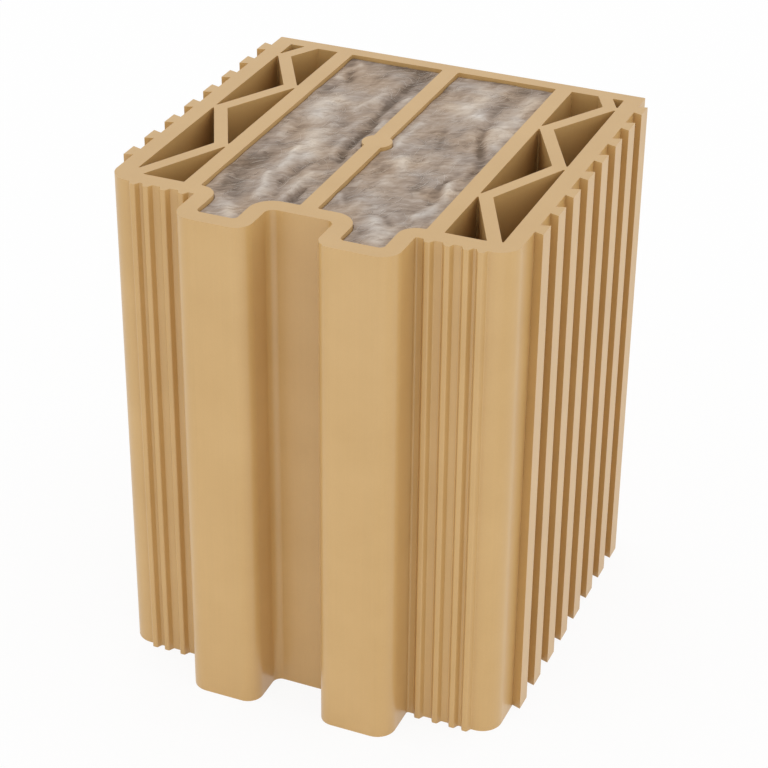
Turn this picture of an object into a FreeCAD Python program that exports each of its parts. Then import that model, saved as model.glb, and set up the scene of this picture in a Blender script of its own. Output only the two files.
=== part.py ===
import FreeCAD, Part
import math
import os

# Hollow clay block for the end of a wall.
# X runs across the wall from plaster face to plaster face, the tongues point to -Y, Z is up.

# Overall
HEIGHT = 249.0              # between the two ground bed faces
BODY_WIDTH = 189.6          # between the groove floors of the plaster faces
BODY_DEPTH = 179.8          # flat back face to the front between its ridges
CORNER_RADIUS = 10.0        # front corners of the body
BACK_CORNER_RADIUS = 0.8

# Walls, from the outside in
SIDE_WALL = 8.5
PARTITION = 8.0
BACK_WALL = 7.1
FRONT_WALL = 8.6
CENTRE_WEB = 8.0
CORE_SHIFT = -0.25          # partitions and tongues off the middle of the width
WEB_SHIFT = -1.3            # centre web off the middle of the width

# Hollow tongues
TONGUE_REACH = 23.4
TONGUE_SET_IN = 1.4         # outer side of a tongue, inside the partition's inner face
TONGUE_WALL = 8.2
TONGUE_OUTER_RADIUS = 9.0
TONGUE_INNER_RADIUS = 7.5
TONGUE_ROOT_RADIUS = 1.0
RECESS_WIDTH = 31.1         # gap between the tongues
RECESS_SHIFT = -0.75        # recess off the middle of the width
RECESS_RADIUS = 4.0
RECESS_SET_OUT = 0.5        # front wall between the tongues, proud of the rest of the front

# Chambers that hold the wool
CHAMBER_RADIUS = 1.0        # corners of the main part
THROAT_OUTER_RADIUS = 8.5   # where the chamber narrows into its tongue
THROAT_INNER_RADIUS = 11.0
TIP_RADIUS = 2.5            # inside corners of the tongue
NUB_RADIUS = 7.0            # round thickening of the centre web
NUB_FROM_BACK = 97.6

# Open cells with a zigzag web
CELL_WIDTH = 25.5           # side wall to partition
WEB_THICKNESS = 6.2
WEB_INSET = 3.2             # bends of the web's centre line, clear of the wall faces
LEFT_BENDS = (21.7, 55.2, 91.4, 129.0)   # from the back face, side wall and partition in turn
RIGHT_BENDS = (18.4, 52.5, 90.0, 131.0)
LEFT_ENDS = (12.9, -0.6)    # the web's ends in the back and front walls, from the side wall
RIGHT_ENDS = (10.9, 1.3)
CELL_RADIUS = 0.4

# Dovetail ribs that key the plaster
RIB_REACH = 4.2
RIB_FOOT = 6.7              # width at the groove floor
RIB_CREST = 9.5             # width at the outer face
RIB_PITCH = 19.5
RIB_FROM_BACK = 15.1        # centre of the rearmost rib
RIB_CLEAR = 6.0             # least flat between a rib and the rounded front corner

# Small ridges beside the tongues
RIDGE_REACH = 2.6
RIDGE_FOOT = 4.9
RIDGE_CREST = 2.4
RIDGE_CREST_RADIUS = 0.8
RIDGE_FOOT_RADIUS = 0.7     # hollow where a ridge runs into the front
RIDGE_PLACES = (14.0, 20.4, 28.9, 37.7)  # from the body's side

# Mineral wool
FILL_CLEARANCE = 0.3
FILL_SUNK = 3.0             # wool below the top bed face

# Faces and lines that several pieces share
BACK = (BODY_DEPTH + TONGUE_REACH) / 2
FRONT = BACK - BODY_DEPTH
TIP = FRONT - TONGUE_REACH
SIDE = BODY_WIDTH / 2
CELL_OUTER = SIDE - SIDE_WALL
CELL_INNER = CELL_OUTER - CELL_WIDTH
CHAMBER_OUTER = CELL_INNER - PARTITION
TONGUE_OUTER = CHAMBER_OUTER - TONGUE_SET_IN
CHAMBER_BACK = BACK - BACK_WALL
CHAMBER_FRONT = FRONT + FRONT_WALL
TONGUE_HOLLOW_TIP = TIP + TONGUE_WALL


def face_of(corners):
    """Flat face inside corners given as (x, y, radius). A radius gives way where its side is too short."""
    points = [FreeCAD.Vector(x, y, 0) for x, y, radius in corners]
    count = len(points)
    sides = [points[(i + 1) % count] - points[i] for i in range(count)]
    halves = [(-sides[i - 1]).getAngle(sides[i]) / 2 for i in range(count)]
    cuts = [corner[2] / math.tan(half) for corner, half in zip(corners, halves)]
    rooms = [0.98 * side.Length for side in sides]
    shares = [room / max(room, cuts[i] + cuts[(i + 1) % count]) for i, room in enumerate(rooms)]
    turns = []
    for i, point in enumerate(points):
        before = (-sides[i - 1]).normalize()
        after = FreeCAD.Vector(sides[i]).normalize()
        cut = cuts[i] * min(shares[i - 1], shares[i])
        top = (before + after).normalize() * (cut / math.cos(halves[i]) - cut * math.tan(halves[i]))
        turns.append((point + before * cut, point + top, point + after * cut))
    edges = []
    for turn, following in zip(turns, turns[1:] + turns[:1]):
        if turn[0] != turn[2]:
            edges.append(Part.Arc(*turn).toShape())
        edges.append(Part.makeLine(turn[2], following[0]))
    return Part.Face(Part.Wire(edges))


def prism(face, height=HEIGHT):
    """Solid from the bottom bed face up."""
    return face.extrude(FreeCAD.Vector(0, 0, height))


def sharp_face(points):
    """Flat face inside a polygon with sharp corners."""
    vectors = [FreeCAD.Vector(x, y, 0) for x, y in points]
    return Part.Face(Part.makePolygon(vectors + vectors[:1]))


def both_sides(half):
    """Corners of an outline that is the same on either side of the X axis."""
    return half + [(x, -y, radius) for x, y, radius in reversed(half)]


def body():
    """Body and tongues as one extruded outline, without hollows."""
    corners = [(SIDE, BACK, BACK_CORNER_RADIUS), (-SIDE, BACK, BACK_CORNER_RADIUS)]
    for hand in (-1, 1):
        outer = CORE_SHIFT + hand * TONGUE_OUTER
        recess = RECESS_SHIFT + hand * RECESS_WIDTH / 2
        half = [(hand * SIDE, FRONT, CORNER_RADIUS),
                (outer, FRONT, TONGUE_ROOT_RADIUS),
                (outer, TIP, TONGUE_OUTER_RADIUS),
                (recess, TIP, TONGUE_INNER_RADIUS),
                (recess, FRONT - RECESS_SET_OUT, RECESS_RADIUS)]
        corners += half if hand < 0 else half[::-1]
    return prism(face_of(corners))


def plaster_ribs():
    """Dovetail ribs on both side faces, rooted into the walls behind."""
    half = [(-SIDE_WALL / 2, RIB_FOOT / 2, 0), (0, RIB_FOOT / 2, 0), (RIB_REACH, RIB_CREST / 2, 0)]
    rib = prism(face_of(both_sides(half)))
    room = BODY_DEPTH - CORNER_RADIUS - RIB_CLEAR - RIB_CREST / 2 - RIB_FROM_BACK
    ribs = []
    for k in range(int(room / RIB_PITCH) + 1):
        y = BACK - RIB_FROM_BACK - k * RIB_PITCH
        right = rib.translated(FreeCAD.Vector(SIDE, y, 0))
        ribs += [right, right.rotated(FreeCAD.Vector(0, y, 0), FreeCAD.Vector(0, 0, 1), 180)]
    return ribs


def front_ridges():
    """Four low ridges on the front at each side, round at the crest and hollow at the foot."""
    wide = RIDGE_FOOT / 2 + RIDGE_FOOT_RADIUS
    half = [(-FRONT_WALL / 2, wide, 0), (0, wide, 0),
            (0, RIDGE_FOOT / 2, RIDGE_FOOT_RADIUS), (RIDGE_REACH, RIDGE_CREST / 2, RIDGE_CREST_RADIUS)]
    ridge = prism(face_of(both_sides(half)))
    ridge.rotate(FreeCAD.Vector(0, 0, 0), FreeCAD.Vector(0, 0, 1), -90)
    return [ridge.translated(FreeCAD.Vector(hand * (SIDE - place), FRONT, 0))
            for hand in (-1, 1) for place in RIDGE_PLACES]


def chamber_face(hand):
    """Section of one wool chamber, from the back wall into the tip of its tongue."""
    web = WEB_SHIFT + hand * CENTRE_WEB / 2
    outer = CORE_SHIFT + hand * CHAMBER_OUTER
    middle_front = CHAMBER_FRONT - RECESS_SET_OUT
    throat_outer = CORE_SHIFT + hand * (TONGUE_OUTER - TONGUE_WALL)
    throat_inner = RECESS_SHIFT + hand * (RECESS_WIDTH / 2 + TONGUE_WALL)
    return face_of([(web, CHAMBER_BACK, CHAMBER_RADIUS),
                    (outer, CHAMBER_BACK, CHAMBER_RADIUS),
                    (outer, CHAMBER_FRONT, CHAMBER_RADIUS),
                    (throat_outer, CHAMBER_FRONT, THROAT_OUTER_RADIUS),
                    (throat_outer, TONGUE_HOLLOW_TIP, TIP_RADIUS),
                    (throat_inner, TONGUE_HOLLOW_TIP, TIP_RADIUS),
                    (throat_inner, middle_front, THROAT_INNER_RADIUS),
                    (web, middle_front, CHAMBER_RADIUS)])


def nub(clearance=0.0):
    """Round thickening of the centre web, or the room that the wool leaves for it."""
    return Part.makeCylinder(NUB_RADIUS + clearance, HEIGHT,
                             FreeCAD.Vector(WEB_SHIFT, BACK - NUB_FROM_BACK, 0))


def strip(points, thickness):
    """Face of even thickness along a zigzag line, mitred at its bends."""
    line = [FreeCAD.Vector(x, y, 0) for x, y in points]
    runs = [(b - a).normalize() for a, b in zip(line, line[1:])]
    one_side = []
    other_side = []
    for i, point in enumerate(line):
        along = runs[max(i - 1, 0)] + runs[min(i, len(runs) - 1)]
        along.normalize()
        across = FreeCAD.Vector(-along.y, along.x, 0)
        half = across * (thickness / 2 / along.dot(runs[min(i, len(runs) - 1)]))
        one_side.append(point + half)
        other_side.append(point - half)
    return sharp_face([(p.x, p.y) for p in one_side + other_side[::-1]])


def zigzag_cells(hand, bends, ends):
    """The triangular cells that a zigzag web leaves between one side wall and its partition."""
    outer = hand * CELL_OUTER
    inner = CORE_SHIFT + hand * CELL_INNER
    at_wall = (outer - hand * WEB_INSET, inner + hand * WEB_INSET)
    line = [(outer - hand * ends[0], BACK - BACK_WALL / 2)]
    line += [(at_wall[i % 2], BACK - bend) for i, bend in enumerate(bends)]
    line += [(outer - hand * ends[1], FRONT + FRONT_WALL / 2)]
    bay = sharp_face([(inner, CHAMBER_BACK), (outer, CHAMBER_BACK),
                      (outer, CHAMBER_FRONT), (inner, CHAMBER_FRONT)])
    cells = []
    for cell in bay.cut(strip(line, WEB_THICKNESS)).Faces:
        corners = [(v.X, v.Y, CELL_RADIUS) for v in cell.OuterWire.OrderedVertexes]
        cells.append(prism(face_of(corners)))
    return cells


def clay_block():
    """The fired block in one piece."""
    outside = body().fuse(plaster_ribs() + front_ridges())
    chambers = [prism(chamber_face(hand)).cut(nub()) for hand in (-1, 1)]
    cells = zigzag_cells(-1, LEFT_BENDS, LEFT_ENDS) + zigzag_cells(1, RIGHT_BENDS, RIGHT_ENDS)
    return outside.cut(chambers + cells).removeSplitter()


def wool_fill(hand):
    """Wool that fills one chamber from the bottom bed face to just below the top one."""
    section = chamber_face(hand).makeOffset2D(-FILL_CLEARANCE)
    return prism(section, HEIGHT - FILL_SUNK).cut(nub(FILL_CLEARANCE))


os.makedirs("parts", exist_ok=True)
pieces = {"clay_block": clay_block(), "wool_fill_left": wool_fill(-1), "wool_fill_right": wool_fill(1)}
for name, shape in pieces.items():
    solid = shape.Solids[0]
    solid.exportStep("parts/" + name + ".step")
    print(name, len(shape.Solids), "solid", round(solid.Volume / 1000, 1), "cm3", solid.isValid())
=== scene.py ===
import math
import random
import bmesh
import bpy
from mathutils import Matrix, Vector, bvhtree, geometry, noise


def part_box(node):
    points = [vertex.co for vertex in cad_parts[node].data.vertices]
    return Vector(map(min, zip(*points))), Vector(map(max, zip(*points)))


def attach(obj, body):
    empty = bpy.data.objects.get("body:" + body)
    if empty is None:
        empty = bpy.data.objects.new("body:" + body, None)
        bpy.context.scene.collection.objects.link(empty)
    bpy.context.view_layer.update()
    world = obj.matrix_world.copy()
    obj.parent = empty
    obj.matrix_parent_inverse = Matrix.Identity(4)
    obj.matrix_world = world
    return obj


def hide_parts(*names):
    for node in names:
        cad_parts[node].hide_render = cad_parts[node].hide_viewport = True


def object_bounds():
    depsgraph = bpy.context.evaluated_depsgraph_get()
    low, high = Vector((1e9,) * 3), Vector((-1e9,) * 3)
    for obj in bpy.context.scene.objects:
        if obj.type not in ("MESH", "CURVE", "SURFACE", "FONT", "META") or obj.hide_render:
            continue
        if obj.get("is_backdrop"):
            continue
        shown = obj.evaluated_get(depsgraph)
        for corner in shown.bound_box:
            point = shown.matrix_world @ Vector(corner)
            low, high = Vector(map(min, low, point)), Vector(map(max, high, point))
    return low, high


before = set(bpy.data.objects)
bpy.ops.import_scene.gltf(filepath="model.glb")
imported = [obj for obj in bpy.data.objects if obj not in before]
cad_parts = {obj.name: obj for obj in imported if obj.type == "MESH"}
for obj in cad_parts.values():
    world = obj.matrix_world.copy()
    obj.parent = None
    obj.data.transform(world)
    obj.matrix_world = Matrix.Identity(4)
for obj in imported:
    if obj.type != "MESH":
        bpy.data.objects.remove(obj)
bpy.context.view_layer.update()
MM = 0.001

# The block itself is one piece of fired clay: the column of plastic clay is pushed through a die that
# forms every wall, rib and tongue at once, cut to length, fired, and ground flat on both bed faces.
# It is a dense sandy yellow clay with a smooth, slightly waxy skin.

CLAY_LIGHT = (0.594, 0.377, 0.149, 1)
CLAY_DARK = (0.557, 0.346, 0.130, 1)
GRAIN_SIZE = 0.7                    # mm
DRAG_LINE_SPACING = 1.1             # mm


def new_group(name, inputs, outputs):
    """Empty shader node group with float inputs given as {name: start value} and float outputs."""
    group = bpy.data.node_groups.new(name, "ShaderNodeTree")
    for label, start in inputs.items():
        kind = "NodeSocketVector" if start is None else "NodeSocketFloat"
        socket = group.interface.new_socket(name=label, in_out="INPUT", socket_type=kind)
        if start is not None:
            socket.default_value = start
    for label in outputs:
        group.interface.new_socket(name=label, in_out="OUTPUT", socket_type="NodeSocketFloat")
    return group, group.nodes.new("NodeGroupInput"), group.nodes.new("NodeGroupOutput")


def add_noise(tree, vector, scale, detail=3.0, roughness=0.55, distortion=0.0):
    """Noise texture on a vector socket. The scale is in features for each metre."""
    node = tree.nodes.new("ShaderNodeTexNoise")
    node.inputs["Scale"].default_value = scale
    node.inputs["Detail"].default_value = detail
    node.inputs["Roughness"].default_value = roughness
    node.inputs["Distortion"].default_value = distortion
    tree.links.new(vector, node.inputs["Vector"])
    return node.outputs["Fac"]


def add_math(tree, operation, a, b):
    """Math node on two sockets or numbers."""
    node = tree.nodes.new("ShaderNodeMath")
    node.operation = operation
    for value, socket in zip((a, b), node.inputs):
        if isinstance(value, (int, float)):
            socket.default_value = value
        else:
            tree.links.new(value, socket)
    return node.outputs[0]


def add_range(tree, value, low, high, to_low=0.0, to_high=1.0):
    """Stretches the span from low to high to the span from to_low to to_high, and clamps it."""
    node = tree.nodes.new("ShaderNodeMapRange")
    tree.links.new(value, node.inputs["Value"])
    for label, number in (("From Min", low), ("From Max", high), ("To Min", to_low), ("To Max", to_high)):
        node.inputs[label].default_value = number
    return node.outputs["Result"]


def add_mix(tree, factor, a, b, blend="MIX"):
    """Colour mix on sockets or plain colours."""
    node = tree.nodes.new("ShaderNodeMix")
    node.data_type = "RGBA"
    node.blend_type = blend
    for value, label in ((factor, "Factor"), (a, "A"), (b, "B")):
        socket = [s for s in node.inputs if s.name == label and s.enabled][0]
        if isinstance(value, (int, float, tuple)):
            socket.default_value = value
        else:
            tree.links.new(value, socket)
    return [s for s in node.outputs if s.enabled][0]


def clay_grain_group():
    """Mottling, sand grain and drag lines of the die, from a position in metres."""
    group, entry, leave = new_group("clay grain", {"Vector": None, "Grain Size": 1.0, "Line Spacing": 1.0},
                                    ("Mottling", "Grain", "Lines"))
    vector = entry.outputs["Vector"]
    mottling = add_noise(group, vector, 28, 4)
    size = group.nodes.new("ShaderNodeVectorMath")
    size.operation = "DIVIDE"
    unit = group.nodes.new("ShaderNodeCombineXYZ")
    grain_metres = add_math(group, "MULTIPLY", entry.outputs["Grain Size"], MM)
    for socket in unit.inputs:
        group.links.new(grain_metres, socket)
    group.links.new(vector, size.inputs[0])
    group.links.new(unit.outputs[0], size.inputs[1])
    grain = add_noise(group, size.outputs[0], 1, 2, 0.7)
    flat = group.nodes.new("ShaderNodeVectorMath")
    flat.operation = "MULTIPLY"
    flat.inputs[1].default_value = (1, 1, 0.012)
    group.links.new(vector, flat.inputs[0])
    spread = group.nodes.new("ShaderNodeVectorMath")
    spread.operation = "DIVIDE"
    line_unit = group.nodes.new("ShaderNodeCombineXYZ")
    line_metres = add_math(group, "MULTIPLY", entry.outputs["Line Spacing"], MM)
    for socket in line_unit.inputs:
        group.links.new(line_metres, socket)
    group.links.new(flat.outputs[0], spread.inputs[0])
    group.links.new(line_unit.outputs[0], spread.inputs[1])
    lines = add_noise(group, spread.outputs[0], 1, 3, 0.6)
    for label, value in (("Mottling", mottling), ("Grain", grain), ("Lines", lines)):
        group.links.new(value, leave.inputs[label])
    return group


def clay_material():
    material = bpy.data.materials.new("fired clay")
    material.use_nodes = True
    tree = material.node_tree
    shader = tree.nodes["Principled BSDF"]
    shader.inputs["IOR"].default_value = 1.55
    place = tree.nodes.new("ShaderNodeTexCoord").outputs["Object"]
    grain = tree.nodes.new("ShaderNodeGroup")
    grain.node_tree = clay_grain_group()
    grain.inputs["Grain Size"].default_value = GRAIN_SIZE
    grain.inputs["Line Spacing"].default_value = DRAG_LINE_SPACING
    tree.links.new(place, grain.inputs["Vector"])
    mottled = add_mix(tree, add_range(tree, grain.outputs["Mottling"], 0.3, 0.7), CLAY_DARK, CLAY_LIGHT)
    speckle = add_range(tree, grain.outputs["Grain"], 0.3, 0.7, 0.985, 1.015)
    streak = add_range(tree, grain.outputs["Lines"], 0.3, 0.7, 0.99, 1.01)
    shade = tree.nodes.new("ShaderNodeCombineColor")
    both = add_math(tree, "MULTIPLY", speckle, streak)
    for socket in shade.inputs:
        tree.links.new(both, socket)
    tree.links.new(add_mix(tree, 1.0, mottled, shade.outputs[0], "MULTIPLY"), shader.inputs["Base Color"])
    tree.links.new(add_range(tree, grain.outputs["Grain"], 0.3, 0.7, 0.28, 0.36), shader.inputs["Roughness"])
    relief = add_math(tree, "ADD", add_math(tree, "MULTIPLY", grain.outputs["Grain"], 0.5), grain.outputs["Lines"])
    bump = tree.nodes.new("ShaderNodeBump")
    bump.inputs["Strength"].default_value = 0.15
    bump.inputs["Distance"].default_value = 0.03 * MM
    tree.links.new(relief, bump.inputs["Height"])
    tree.links.new(bump.outputs["Normal"], shader.inputs["Normal"])
    return material


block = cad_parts["clay_block"]
block.data.materials.clear()
block.data.materials.append(clay_material())

# Mineral wool fills both middle chambers from bed to bed: a felt of crimped stone fibres, greyish
# brown from its binder, pressed in after firing and held by its own spring. Its top is torn, not
# cut, so it stands a few millimetres low, with creases, hollows and raised tufts.

FELT_CELL = 0.6                     # mm, grid of the torn faces
FELT_PROUD = 1.0                    # mm, torn face above the level it was pressed to
# The felt's colour steps, chosen by its "shade": the wool's own darker and lighter patches, together with painted
# shade in creases, hollows and along the walls and painted light on raised tufts. White is the palest wisps and
# the painted highlight on the highest tufts.
FELT_WHITE = (0.770, 0.690, 0.605, 1)
FELT_LIGHT = (0.592, 0.512, 0.436, 1)
FELT_MIDDLE = (0.390, 0.304, 0.240, 1)
FELT_DARK = (0.172, 0.126, 0.092, 1)
FELT_WARM = (1.04, 1.0, 0.94, 1)    # drifts of browner and greyer wool
FELT_COOL = (0.96, 1.0, 1.06, 1)
LAY_ANGLE = math.radians(77)        # clumps and creases run along the chamber
LAY = Vector((math.cos(LAY_ANGLE), math.sin(LAY_ANGLE), 0))
CROSS_LAY = Vector((-LAY.y, LAY.x, 0))

# Creases and tufts of the torn face: rise in mm, tone from -1 dark to 1 light, reach to either side in
# mm, and the line that each follows. The dark tones are painted shade in the creases and along the walls,
# and the light tones painted light on the tufts, together with the wool's own darker and lighter patches.
TORN_MARKS = (
    (-0.6, -0.4, 4.6, ((-12.4, 94.0), (-13.0, 75.0), (-14.0, 60.0), (-15.0, 48.0))),
    (-0.8, -0.66, 2.6, ((-14.8, 94.0), (-14.4, 75.0), (-14.8, 68.0))),
    (-1.5, -0.66, 1.9, ((-16.0, 63.0), (-15.5, 54.0), (-14.4, 42.0), (-13.6, 30.0), (-12.3, 20.0), (-12.5, 10.0), (-12.2, -10.0))),
    (-0.6, -0.46, 4.0, ((-12.0, 18.0), (-13.3, 6.0), (-13.5, -4.0), (-12.0, -15.0))),
    (-0.8, -0.46, 2.2, ((-11.5, -12.0), (-10.5, -25.0))),
    (-0.4, -0.57, 2.4, ((-10.0, 90.0), (-9.5, 66.0))),
    (-0.8, -0.85, 3.2, ((-47.0, 80.0), (-43.0, 69.0))),
    (-0.6, -0.51, 2.6, ((-52.0, 94.5), (-44.0, 95.5))),
    (-0.5, -0.63, 3.4, ((-48.5, 58.0), (-47.5, 47.0))),
    (-0.7, -0.74, 3.2, ((-29.5, 94.0), (-18.0, 92.5))),
    (-0.3, -0.46, 3.6, ((-33.0, 91.0), (-31.0, 79.0))),
    (-0.6, -0.28, 2.4, ((-45.0, 16.0), (-42.0, 4.0), (-41.0, -8.0))),
    (-0.4, -0.65, 2.6, ((-41.0, -10.0), (-41.0, -24.0))),
    (-1.0, -0.68, 3.6, ((-50.0, -27.0), (-50.0, -46.0))),
    (-1.0, -0.57, 3.8, ((-44.0, -28.0), (-44.5, -40.0), (-42.0, -56.0), (-39.0, -67.0))),
    (-0.6, -0.57, 3.0, ((-47.5, -54.0), (-44.5, -66.0))),
    (-0.5, -0.34, 2.4, ((-27.0, 32.0), (-24.0, 18.0))),
    (-1.5, -0.57, 2.1, ((-21.0, -22.0), (-23.0, -28.0), (-24.6, -38.0), (-24.5, -46.0))),
    (-0.4, -0.46, 3.0, ((-18.0, -21.0), (-15.0, -28.0))),
    (-0.8, -0.46, 2.0, ((-24.5, -46.0), (-22.0, -60.0))),
    (-2.6, -0.97, 2.2, ((-13.3, -51.0), (-13.0, -62.0))),
    (-0.3, -0.46, 2.4, ((-10.5, -61.0), (-9.5, -66.0))),
    (-0.4, -0.68, 3.0, ((-52.0, 92.0), (-49.5, 86.0))),
    (-0.3, -0.46, 2.4, ((-52.5, 20.0), (-51.0, 11.0))),
    (0.2, 0.46, 2.8, ((-47.0, 6.0), (-45.5, -2.0))),
    (0.2, 0.63, 2.6, ((-10.0, 68.0), (-9.5, 50.0))),
    (0.4, 1.08, 6.6, ((-39.5, 42.0), (-41.0, 33.0), (-39.0, 24.0))),
    (0.7, 0.63, 2.2, ((-22.3, 65.0), (-21.5, 58.0), (-22.5, 50.0), (-25.0, 41.0))),
    (0.6, 0.63, 2.2, ((-50.5, 70.0), (-48.5, 82.0), (-45.5, 88.0))),
    (0.2, 0.6, 2.0, ((-9.7, 31.0), (-9.5, 22.0))),
    (0.8, 0.97, 5.0, ((-32.0, 5.0), (-30.0, -4.0), (-26.6, -13.0), (-25.5, -19.0))),
    (1.2, 0.97, 2.4, ((-32.5, -14.0), (-31.0, -26.0), (-29.7, -37.0))),
    (0.9, 0.85, 2.4, ((-33.0, -42.0), (-31.8, -50.0), (-29.0, -60.0), (-27.5, -66.0))),
    (0.9, 0.8, 2.6, ((-16.4, -35.0), (-16.6, -44.0), (-15.8, -56.0))),
    (0.3, 0.57, 1.6, ((-18.0, 5.0), (-16.5, -6.0), (-15.5, -15.0))),
    (0.7, 0.85, 3.4, ((-36.0, -78.0), (-31.0, -88.0))),
    (0.0, 0.11, 40.0, ((25.0, 90.0), (25.0, -60.0))),
    (-0.8, -0.74, 4.4, ((37.8, 89.0), (37.4, 80.0), (35.5, 71.0))),
    (-0.3, -0.4, 3.0, ((38.0, 95.0), (48.0, 92.5))),
    (-0.8, -0.57, 2.2, ((34.3, 64.0), (35.5, 56.0), (36.0, 48.0), (36.5, 42.0))),
    (-1.2, -0.68, 2.4, ((36.2, 39.0), (38.9, 28.0), (43.1, 18.0), (48.6, 8.0), (49.8, -3.0))),
    (-0.3, -0.51, 2.6, ((48.5, -4.0), (48.7, -23.0))),
    (-0.2, -0.4, 1.6, ((41.0, 23.0), (44.5, 13.0))),
    (-0.3, -0.34, 3.0, ((35.0, 22.0), (38.0, 11.0))),
    (-0.5, -0.3, 6.0, ((17.0, 30.0), (18.0, 23.0), (22.0, 12.0))),
    (-0.8, -0.43, 2.0, ((20.5, 31.0), (22.0, 22.0), (24.0, 13.0))),
    (-0.3, -0.51, 4.0, ((29.0, 27.0), (31.0, 12.0))),
    (-0.5, -0.57, 2.4, ((15.0, 94.5), (30.0, 94.5))),
    (-0.6, -0.57, 2.6, ((12.0, -14.0), (12.5, -25.0))),
    (-0.5, -0.55, 3.2, ((30.0, -20.0), (31.0, -29.0), (36.0, -32.0))),
    (-1.0, -0.57, 2.4, ((43.0, -8.0), (41.0, -17.0), (41.0, -28.0), (43.9, -42.0))),
    (-0.6, -0.11, 2.0, ((47.0, -52.0), (48.5, -61.0))),
    (-0.8, -0.57, 3.0, ((7.0, -42.0), (7.5, -60.0))),
    (-0.4, -0.35, 2.4, ((40.5, -48.0), (39.0, -62.0))),
    (-0.6, -0.63, 2.2, ((24.0, -62.0), (27.0, -61.0), (31.0, -62.5), (36.0, -68.0))),
    (-0.5, -0.35, 3.0, ((26.0, -78.0), (27.0, -88.0))),
    (-0.4, -0.68, 2.4, ((4.3, 78.0), (4.3, 61.0))),
    (0.5, 0.64, 4.4, ((22.2, 82.0), (23.0, 74.0), (23.0, 62.0))),
    (0.5, 0.91, 5.4, ((18.0, 58.0), (25.0, 51.5), (30.5, 52.0))),
    (0.6, 0.63, 3.4, ((47.0, 80.0), (46.3, 68.0), (46.0, 61.0))),
    (0.8, 0.92, 4.6, ((46.0, 53.0), (44.3, 44.0), (47.0, 31.0), (48.5, 24.0))),
    (0.8, 0.85, 3.7, ((14.0, -4.0), (16.9, -10.5))),
    (0.2, 0.51, 3.4, ((20.0, -14.0), (21.0, -23.0))),
    (0.3, 0.63, 2.4, ((8.0, 33.0), (6.3, 20.0), (6.3, 5.0))),
    (1.0, 0.85, 2.0, ((43.5, -22.0), (46.0, -30.0), (47.0, -35.0))),
    (0.5, 0.57, 2.0, ((45.5, -42.0), (46.5, -48.0))),
    (0.8, 0.85, 2.0, ((42.0, -58.0), (46.0, -52.0))),
    (0.5, 0.64, 2.8, ((27.5, -68.0), (29.0, -74.0))),
    (0.7, 0.71, 3.6, ((33.0, -76.0), (36.0, -86.0))),
    (0.4, 0.57, 1.4, ((4.5, -50.0), (8.0, -58.0))),
    (0.3, 0.46, 2.8, ((15.0, -24.0), (17.5, -34.0))),
    (0.3, 0.46, 2.8, ((14.5, -51.0), (15.0, -62.0))),
    (-0.3, -0.45, 2.4, ((-51.5, -2.0), (-51.5, -12.0))),
    (0.2, 0.35, 2.2, ((-19.5, 30.0), (-18.5, 20.0))),
    (0.2, 0.35, 2.4, ((19.0, -66.0), (21.0, -60.0))),
    (-0.3, -0.35, 2.6, ((4.0, -5.0), (5.0, -14.0))),
)


def strand_group():
    """Strands laid along one direction, and the clumps they gather in, from a position in metres."""
    group, entry, leave = new_group("laid strands", {"Vector": None, "Angle": 0.0, "Length": 5.0, "Width": 0.7},
                                    ("Strands", "Clumps"))
    vector = entry.outputs["Vector"]
    sway = group.nodes.new("ShaderNodeTexNoise")
    sway.inputs["Scale"].default_value = 70
    sway.inputs["Detail"].default_value = 2
    group.links.new(vector, sway.inputs["Vector"])
    centred = group.nodes.new("ShaderNodeVectorMath")
    centred.operation = "SUBTRACT"
    centred.inputs[1].default_value = (0.5, 0.5, 0.5)
    group.links.new(sway.outputs["Color"], centred.inputs[0])
    bent = group.nodes.new("ShaderNodeVectorMath")
    bent.operation = "MULTIPLY_ADD"
    bent.inputs[1].default_value = (9 * MM, 9 * MM, 0)
    group.links.new(centred.outputs[0], bent.inputs[0])
    group.links.new(vector, bent.inputs[2])
    turn = group.nodes.new("ShaderNodeVectorRotate")
    turn.rotation_type = "Z_AXIS"
    group.links.new(bent.outputs[0], turn.inputs["Vector"])
    group.links.new(add_math(group, "MULTIPLY", entry.outputs["Angle"], -1), turn.inputs["Angle"])
    unit = group.nodes.new("ShaderNodeCombineXYZ")
    group.links.new(add_math(group, "MULTIPLY", entry.outputs["Length"], MM), unit.inputs["X"])
    group.links.new(add_math(group, "MULTIPLY", entry.outputs["Width"], MM), unit.inputs["Y"])
    group.links.new(add_math(group, "MULTIPLY", entry.outputs["Width"], MM), unit.inputs["Z"])
    scaled = group.nodes.new("ShaderNodeVectorMath")
    scaled.operation = "DIVIDE"
    group.links.new(turn.outputs[0], scaled.inputs[0])
    group.links.new(unit.outputs[0], scaled.inputs[1])
    group.links.new(add_noise(group, scaled.outputs[0], 1, 3, 0.6), leave.inputs["Strands"])
    group.links.new(add_noise(group, vector, 130, 3, 0.6), leave.inputs["Clumps"])
    return group


strands_of_felt = strand_group()


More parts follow.
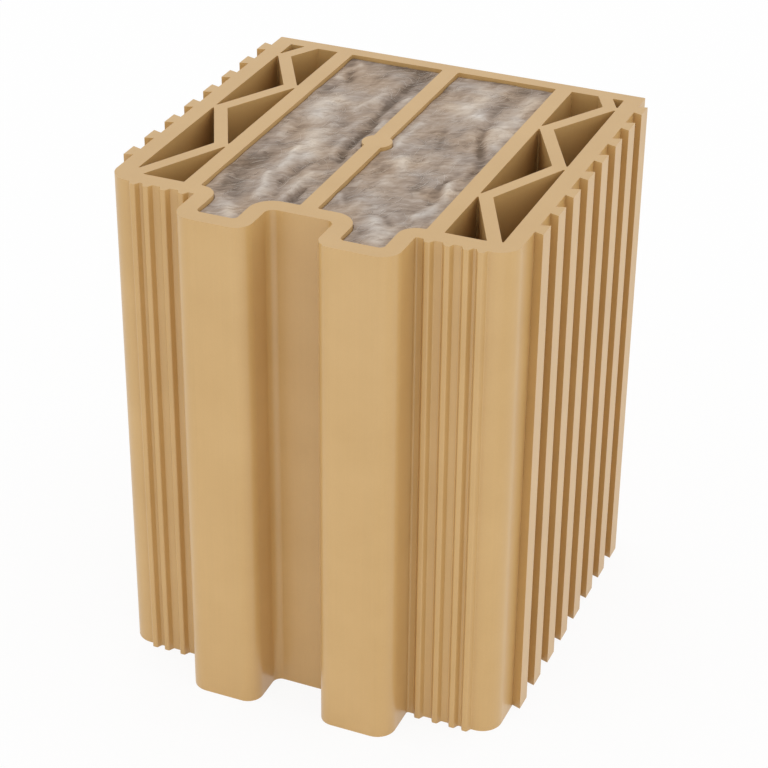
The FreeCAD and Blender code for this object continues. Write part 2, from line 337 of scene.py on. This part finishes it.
def felt_material(name, lift, follows_marks):
    """Stone fibre felt. The lift makes it lighter or darker, and the marks of the torn face paint into its colour
    the shade of their creases and the light of their tufts.
    """
    material = bpy.data.materials.new(name)
    material.use_nodes = True
    tree = material.node_tree
    shader = tree.nodes["Principled BSDF"]
    shader.inputs["Roughness"].default_value = 0.95
    shader.inputs["Specular IOR Level"].default_value = 0.2
    place = tree.nodes.new("ShaderNodeTexCoord").outputs["Object"]
    shade = lift
    for angle, length, width, share in ((0.0, 18.0, 5.0, 0.4), (-0.8, 9.0, 2.2, 0.42),
                                        (-0.5, 8.0, 0.9, 0.16), (-1.1, 7.0, 0.6, 0.12)):
        laid = tree.nodes.new("ShaderNodeGroup")
        laid.node_tree = strands_of_felt
        laid.inputs["Angle"].default_value = LAY_ANGLE + angle
        laid.inputs["Length"].default_value = length
        laid.inputs["Width"].default_value = width
        tree.links.new(place, laid.inputs["Vector"])
        shade = add_math(tree, "ADD", shade, add_range(tree, laid.outputs["Strands"], 0.25, 0.75, -share, share))
    shade = add_math(tree, "ADD", shade, add_range(tree, laid.outputs["Clumps"], 0.25, 0.75, -0.2, 0.2))
    # Painted shade of creases and walls and painted light of tufts, from the torn face's "shade".
    if follows_marks:
        marks = tree.nodes.new("ShaderNodeAttribute")
        marks.attribute_name = "shade"
        shade = add_math(tree, "ADD", shade, marks.outputs["Fac"])
    lower = add_mix(tree, add_range(tree, shade, -1.0, 0.0), FELT_DARK, FELT_MIDDLE)
    upper = add_mix(tree, add_range(tree, shade, 0.0, 1.0), lower, FELT_LIGHT)
    colour = add_mix(tree, add_range(tree, shade, 1.0, 2.0), upper, FELT_WHITE)
    drift = add_mix(tree, add_range(tree, add_noise(tree, place, 45, 2), 0.35, 0.65), FELT_WARM, FELT_COOL)
    tree.links.new(add_mix(tree, 1.0, colour, drift, "MULTIPLY"), shader.inputs["Base Color"])
    bump = tree.nodes.new("ShaderNodeBump")
    bump.inputs["Strength"].default_value = 0.1
    bump.inputs["Distance"].default_value = 0.5 * MM
    tree.links.new(laid.outputs["Strands"], bump.inputs["Height"])
    tree.links.new(bump.outputs["Normal"], shader.inputs["Normal"])
    return material


def torn_rise(spot):
    """Rise of the felt at a place in mm, before its creases and tufts: lumps, and strands along the chamber."""
    bent = spot + noise.noise_vector(spot / 14) * 6
    lumps = noise.noise(Vector((bent.dot(LAY) / 16, bent.dot(CROSS_LAY) / 6, 0)))
    strands = noise.fractal(Vector((bent.dot(LAY) / 8, bent.dot(CROSS_LAY) / 2.4, 4)), 0.9, 2.0, 2)
    return 0.5 * lumps + 0.25 * strands


def felt_block(node, low, high):
    """Block of felt as large as the chamber's box, with a fine grid on its two ends, trimmed to the chamber."""
    mould = bmesh.new()
    mould.from_mesh(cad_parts[node].data)
    bmesh.ops.remove_doubles(mould, verts=mould.verts, dist=0.001 * MM)
    for vertex in mould.verts:
        vertex.co.z += 20 * MM if vertex.co.z > high.z / 2 else -20 * MM
    walls = bvhtree.BVHTree.FromBMesh(mould)
    mould_mesh = bpy.data.meshes.new("chamber mould")
    mould.to_mesh(mould_mesh)
    mould.free()
    mould_object = bpy.data.objects.new("chamber_mould", mould_mesh)
    bpy.context.scene.collection.objects.link(mould_object)

    felt = bmesh.new()
    size = high - low + Vector((2, 2, 0)) * MM
    middle = (low + high) / 2
    place = Matrix.Translation((middle.x, middle.y, high.z)) @ Matrix.Diagonal((size.x, size.y, 1, 1))
    bmesh.ops.create_grid(felt, x_segments=round(size.x / (FELT_CELL * MM)),
                          y_segments=round(size.y / (FELT_CELL * MM)), size=0.5, matrix=place)
    lower = bmesh.ops.extrude_face_region(felt, geom=felt.faces[:])["geom"]
    lower_vertices = [item for item in lower if isinstance(item, bmesh.types.BMVert)]
    bmesh.ops.translate(felt, verts=lower_vertices, vec=(0, 0, -size.z))
    bmesh.ops.recalc_face_normals(felt, faces=felt.faces)
    felt_mesh = bpy.data.meshes.new(node.replace("wool_fill", "felt"))
    felt.to_mesh(felt_mesh)
    felt.free()
    piece = bpy.data.objects.new(felt_mesh.name, felt_mesh)
    bpy.context.scene.collection.objects.link(piece)
    trim = piece.modifiers.new("chamber", "BOOLEAN")
    trim.operation = "INTERSECT"
    trim.object = mould_object
    graph = bpy.context.evaluated_depsgraph_get()
    trimmed = bpy.data.meshes.new_from_object(piece.evaluated_get(graph))
    piece.modifiers.clear()
    piece.data = trimmed
    bpy.data.objects.remove(mould_object)
    return piece, walls


def tear(piece, walls, low, high):
    """Lifts and lowers both ends of the felt, and keeps how far each place of the top is raised as its shade:
    painted light where it is raised and painted shade where it is low, with the tones of the marks added.
    """
    torn = bmesh.new()
    torn.from_mesh(piece.data)
    shade = torn.verts.layers.float.new("shade")
    spots = {v: Vector((v.co.x, v.co.y, 0)) / MM for v in torn.verts if v.co.z > high.z - 0.1 * MM}
    rises = {v: torn_rise(spot) for v, spot in spots.items()}
    # Painted shade on the low places and painted light on the raised ones.
    for v, rise in rises.items():
        v[shade] = 0.3 * rise
    for height, tone, reach, line in TORN_MARKS:
        points = [Vector((x, y, 0)) for x, y in line]
        west = min(p.x for p in points) - 2.2 * reach
        east = max(p.x for p in points) + 2.2 * reach
        south = min(p.y for p in points) - 2.2 * reach
        north = max(p.y for p in points) + 2.2 * reach
        for v, spot in spots.items():
            if not (west < spot.x < east and south < spot.y < north):
                continue
            frayed = spot + noise.noise_vector(spot / 10) * 1.4
            frayed.z = 0
            gaps = []
            for start, end in zip(points, points[1:]):
                share = geometry.intersect_point_line(frayed, start, end)[1]
                gaps.append((start.lerp(end, min(max(share, 0), 1)) - frayed).length)
            weight = math.exp(-(min(gaps) / reach) ** 2)
            rises[v] += height * weight
            # The mark's tone: painted shade in a crease or by a wall, painted light on a tuft, with the wool's own
            # tone.
            v[shade] += tone * weight
    for v in torn.verts:
        if v in rises:
            held = min(walls.find_nearest(v.co)[3] / (3.5 * MM), 1)
            v.co.z = high.z + (FELT_PROUD + 0.5 * noise.noise(spots[v] / 11) + min(rises[v], 1.2) * held) * MM
        elif v.co.z < low.z + 0.1 * MM:
            v.co.z = low.z + (1.0 + 0.9 * noise.noise(v.co / (5 * MM))) * MM
    torn.to_mesh(piece.data)
    torn.free()


noise.seed_set(6)
felt_surface = felt_material("mineral wool", 0.0, True)
# Three tones of loose fibre; each fibre's tone is random, with the painted shade or light of the felt under it
# added.
fibre_surfaces = [felt_material("mineral wool fibre " + tone, lift, False)
                  for tone, lift in (("dark", 0.2), ("middle", 0.9), ("light", 1.5))]
felts = []
for node in ("wool_fill_left", "wool_fill_right"):
    low, high = map(Vector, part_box(node))
    piece, walls = felt_block(node, low, high)
    tear(piece, walls, low, high)
    piece.data.materials.append(felt_surface)
    piece.data.shade_smooth()
    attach(piece, "root")
    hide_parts(node)
    felts.append(piece)

# Loose fibres lie on the torn face where the felt was pulled apart: single strands and thin wisps of
# them, most along the lie of the felt and some across it, with their ends free.

FIBRE_COUNT = 300                   # in each chamber
FIBRE_RADIUS = 0.065                # mm
FIBRE_ANGLE = math.radians(45)
FIBRE_STEP = 1.5                    # mm between the points of a fibre
chance = random.Random(11)


def loose_fibres(felt):
    """Fibres of one chamber, each a short bent line that follows the torn face."""
    face = bmesh.new()
    face.from_mesh(felt.data)
    face.faces.ensure_lookup_table()
    shade = face.verts.layers.float["shade"]
    tones = [sum(v[shade] for v in f.verts) / len(f.verts) for f in face.faces]
    ground = bvhtree.BVHTree.FromBMesh(face)
    low_x, high_x = min(v.co.x for v in face.verts), max(v.co.x for v in face.verts)
    low_y, high_y = min(v.co.y for v in face.verts), max(v.co.y for v in face.verts)
    face.free()
    line = bpy.data.curves.new(felt.name + " fibres", "CURVE")
    line.dimensions = "3D"
    line.bevel_depth = FIBRE_RADIUS * MM
    line.bevel_resolution = 0
    line.use_fill_caps = True
    for surface in fibre_surfaces:
        line.materials.append(surface)
    while len(line.splines) < FIBRE_COUNT:
        spot = Vector((chance.uniform(low_x, high_x), chance.uniform(low_y, high_y), 0))
        heading = FIBRE_ANGLE + chance.gauss(0, 0.5)
        turning = chance.gauss(0, 0.12)
        count = chance.randint(4, 9)
        hop = chance.uniform(0, 0.8) ** 3
        tone = chance.gauss(1.5, 0.4)
        points = []
        for i in range(count):
            hit, normal, index, distance = ground.ray_cast(spot + Vector((0, 0, 0.3)), Vector((0, 0, -1)))
            if hit is None or hit.z < 0.2:
                break
            # The fibre takes on the painted shade or light of the felt under it.
            tone += tones[index] * 0.8 / count
            points.append(hit + Vector((0, 0, 0.04 + hop * math.sin(math.pi * i / (count - 1)))) * MM)
            heading += turning + chance.gauss(0, 0.1)
            spot += Vector((math.cos(heading), math.sin(heading), 0)) * FIBRE_STEP * MM
        if len(points) < 4:
            continue
        fibre = line.splines.new("POLY")
        fibre.points.add(len(points) - 1)
        for target, point in zip(fibre.points, points):
            target.co = (*point, 1)
        fibre.material_index = min(max(round(tone), 0), 2)
    maker = bpy.data.objects.new("fibre line", line)
    bpy.context.scene.collection.objects.link(maker)
    graph = bpy.context.evaluated_depsgraph_get()
    piece = bpy.data.objects.new(felt.name.replace("felt", "fibres"),
                                 bpy.data.meshes.new_from_object(maker.evaluated_get(graph)))
    bpy.data.objects.remove(maker)
    bpy.context.scene.collection.objects.link(piece)
    return piece


for felt in felts:
    wisps = loose_fibres(felt)
    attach(wisps, "root")

# The photographer's set: a white floor that runs out of view, even white light from all round, and a
# long lens from the front right, above the block.

LENS = 106.135                                  # mm on a 36 mm wide sensor
CAMERA_PLACE = (0.364031, -0.860407, 0.669073)
CAMERA_TURN = (59.770667, -0.537506, 22.96246)  # degrees

camera = bpy.data.objects.new("camera", bpy.data.cameras.new("camera"))
camera.data.lens = LENS
camera.data.sensor_width = 36
camera.location = CAMERA_PLACE
camera.rotation_euler = [math.radians(angle) for angle in CAMERA_TURN]
bpy.context.scene.collection.objects.link(camera)
bpy.context.scene.camera = camera

world = bpy.data.worlds.new("studio")
world.use_nodes = True
world.node_tree.nodes["Background"].inputs["Color"].default_value = (1, 1, 1, 1)
world.node_tree.nodes["Background"].inputs["Strength"].default_value = 1.0
bpy.context.scene.world = world

fill_light = bpy.data.objects.new("low_front_light", bpy.data.lights.new("low front light", "AREA"))
fill_light.data.shape = "RECTANGLE"
fill_light.data.size = 0.7
fill_light.data.size_y = 0.05
fill_light.data.energy = 0.13
fill_light.location = (0.08, -0.45, 0.03)
fill_light.rotation_euler = (math.radians(90), 0, math.radians(9))
fill_light.visible_camera = False
bpy.context.scene.collection.objects.link(fill_light)

side_light = bpy.data.objects.new("right_light", bpy.data.lights.new("right light", "AREA"))
side_light.data.size = 0.6
side_light.data.energy = 0.35
side_light.location = (1.0, 0.05, 0.3)
side_light.rotation_euler = (math.radians(90), 0, math.radians(90))
side_light.visible_camera = False
bpy.context.scene.collection.objects.link(side_light)

floor_mesh = bmesh.new()
bmesh.ops.create_circle(floor_mesh, cap_ends=True, segments=64, radius=6)
floor_data = bpy.data.meshes.new("floor")
floor_mesh.to_mesh(floor_data)
floor_mesh.free()
floor = bpy.data.objects.new("floor", floor_data)
bpy.context.scene.collection.objects.link(floor)
floor_paint = bpy.data.materials.new("white floor")
floor_paint.use_nodes = True
floor_tree = floor_paint.node_tree
floor_shader = floor_tree.nodes["Principled BSDF"]
floor_shader.inputs["Base Color"].default_value = (0.94, 0.94, 0.94, 1)
floor_shader.inputs["Roughness"].default_value = 0.9
floor_glow = floor_tree.nodes.new("ShaderNodeEmission")
floor_glow.inputs["Strength"].default_value = 1.0
floor_mix = floor_tree.nodes.new("ShaderNodeMixShader")
light_path = floor_tree.nodes.new("ShaderNodeLightPath")
seen = add_math(floor_tree, "MAXIMUM", light_path.outputs["Is Camera Ray"], light_path.outputs["Is Glossy Ray"])
seen = add_math(floor_tree, "MAXIMUM", seen, light_path.outputs["Is Transmission Ray"])
floor_tree.links.new(add_math(floor_tree, "MULTIPLY", seen, 0.9), floor_mix.inputs["Fac"])
floor_tree.links.new(floor_shader.outputs[0], floor_mix.inputs[1])
floor_tree.links.new(floor_glow.outputs[0], floor_mix.inputs[2])
floor_tree.links.new(floor_mix.outputs[0], floor_tree.nodes["Material Output"].inputs["Surface"])
floor_data.materials.append(floor_paint)
floor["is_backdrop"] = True

bpy.context.scene.view_settings.view_transform = "Standard"

low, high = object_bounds()
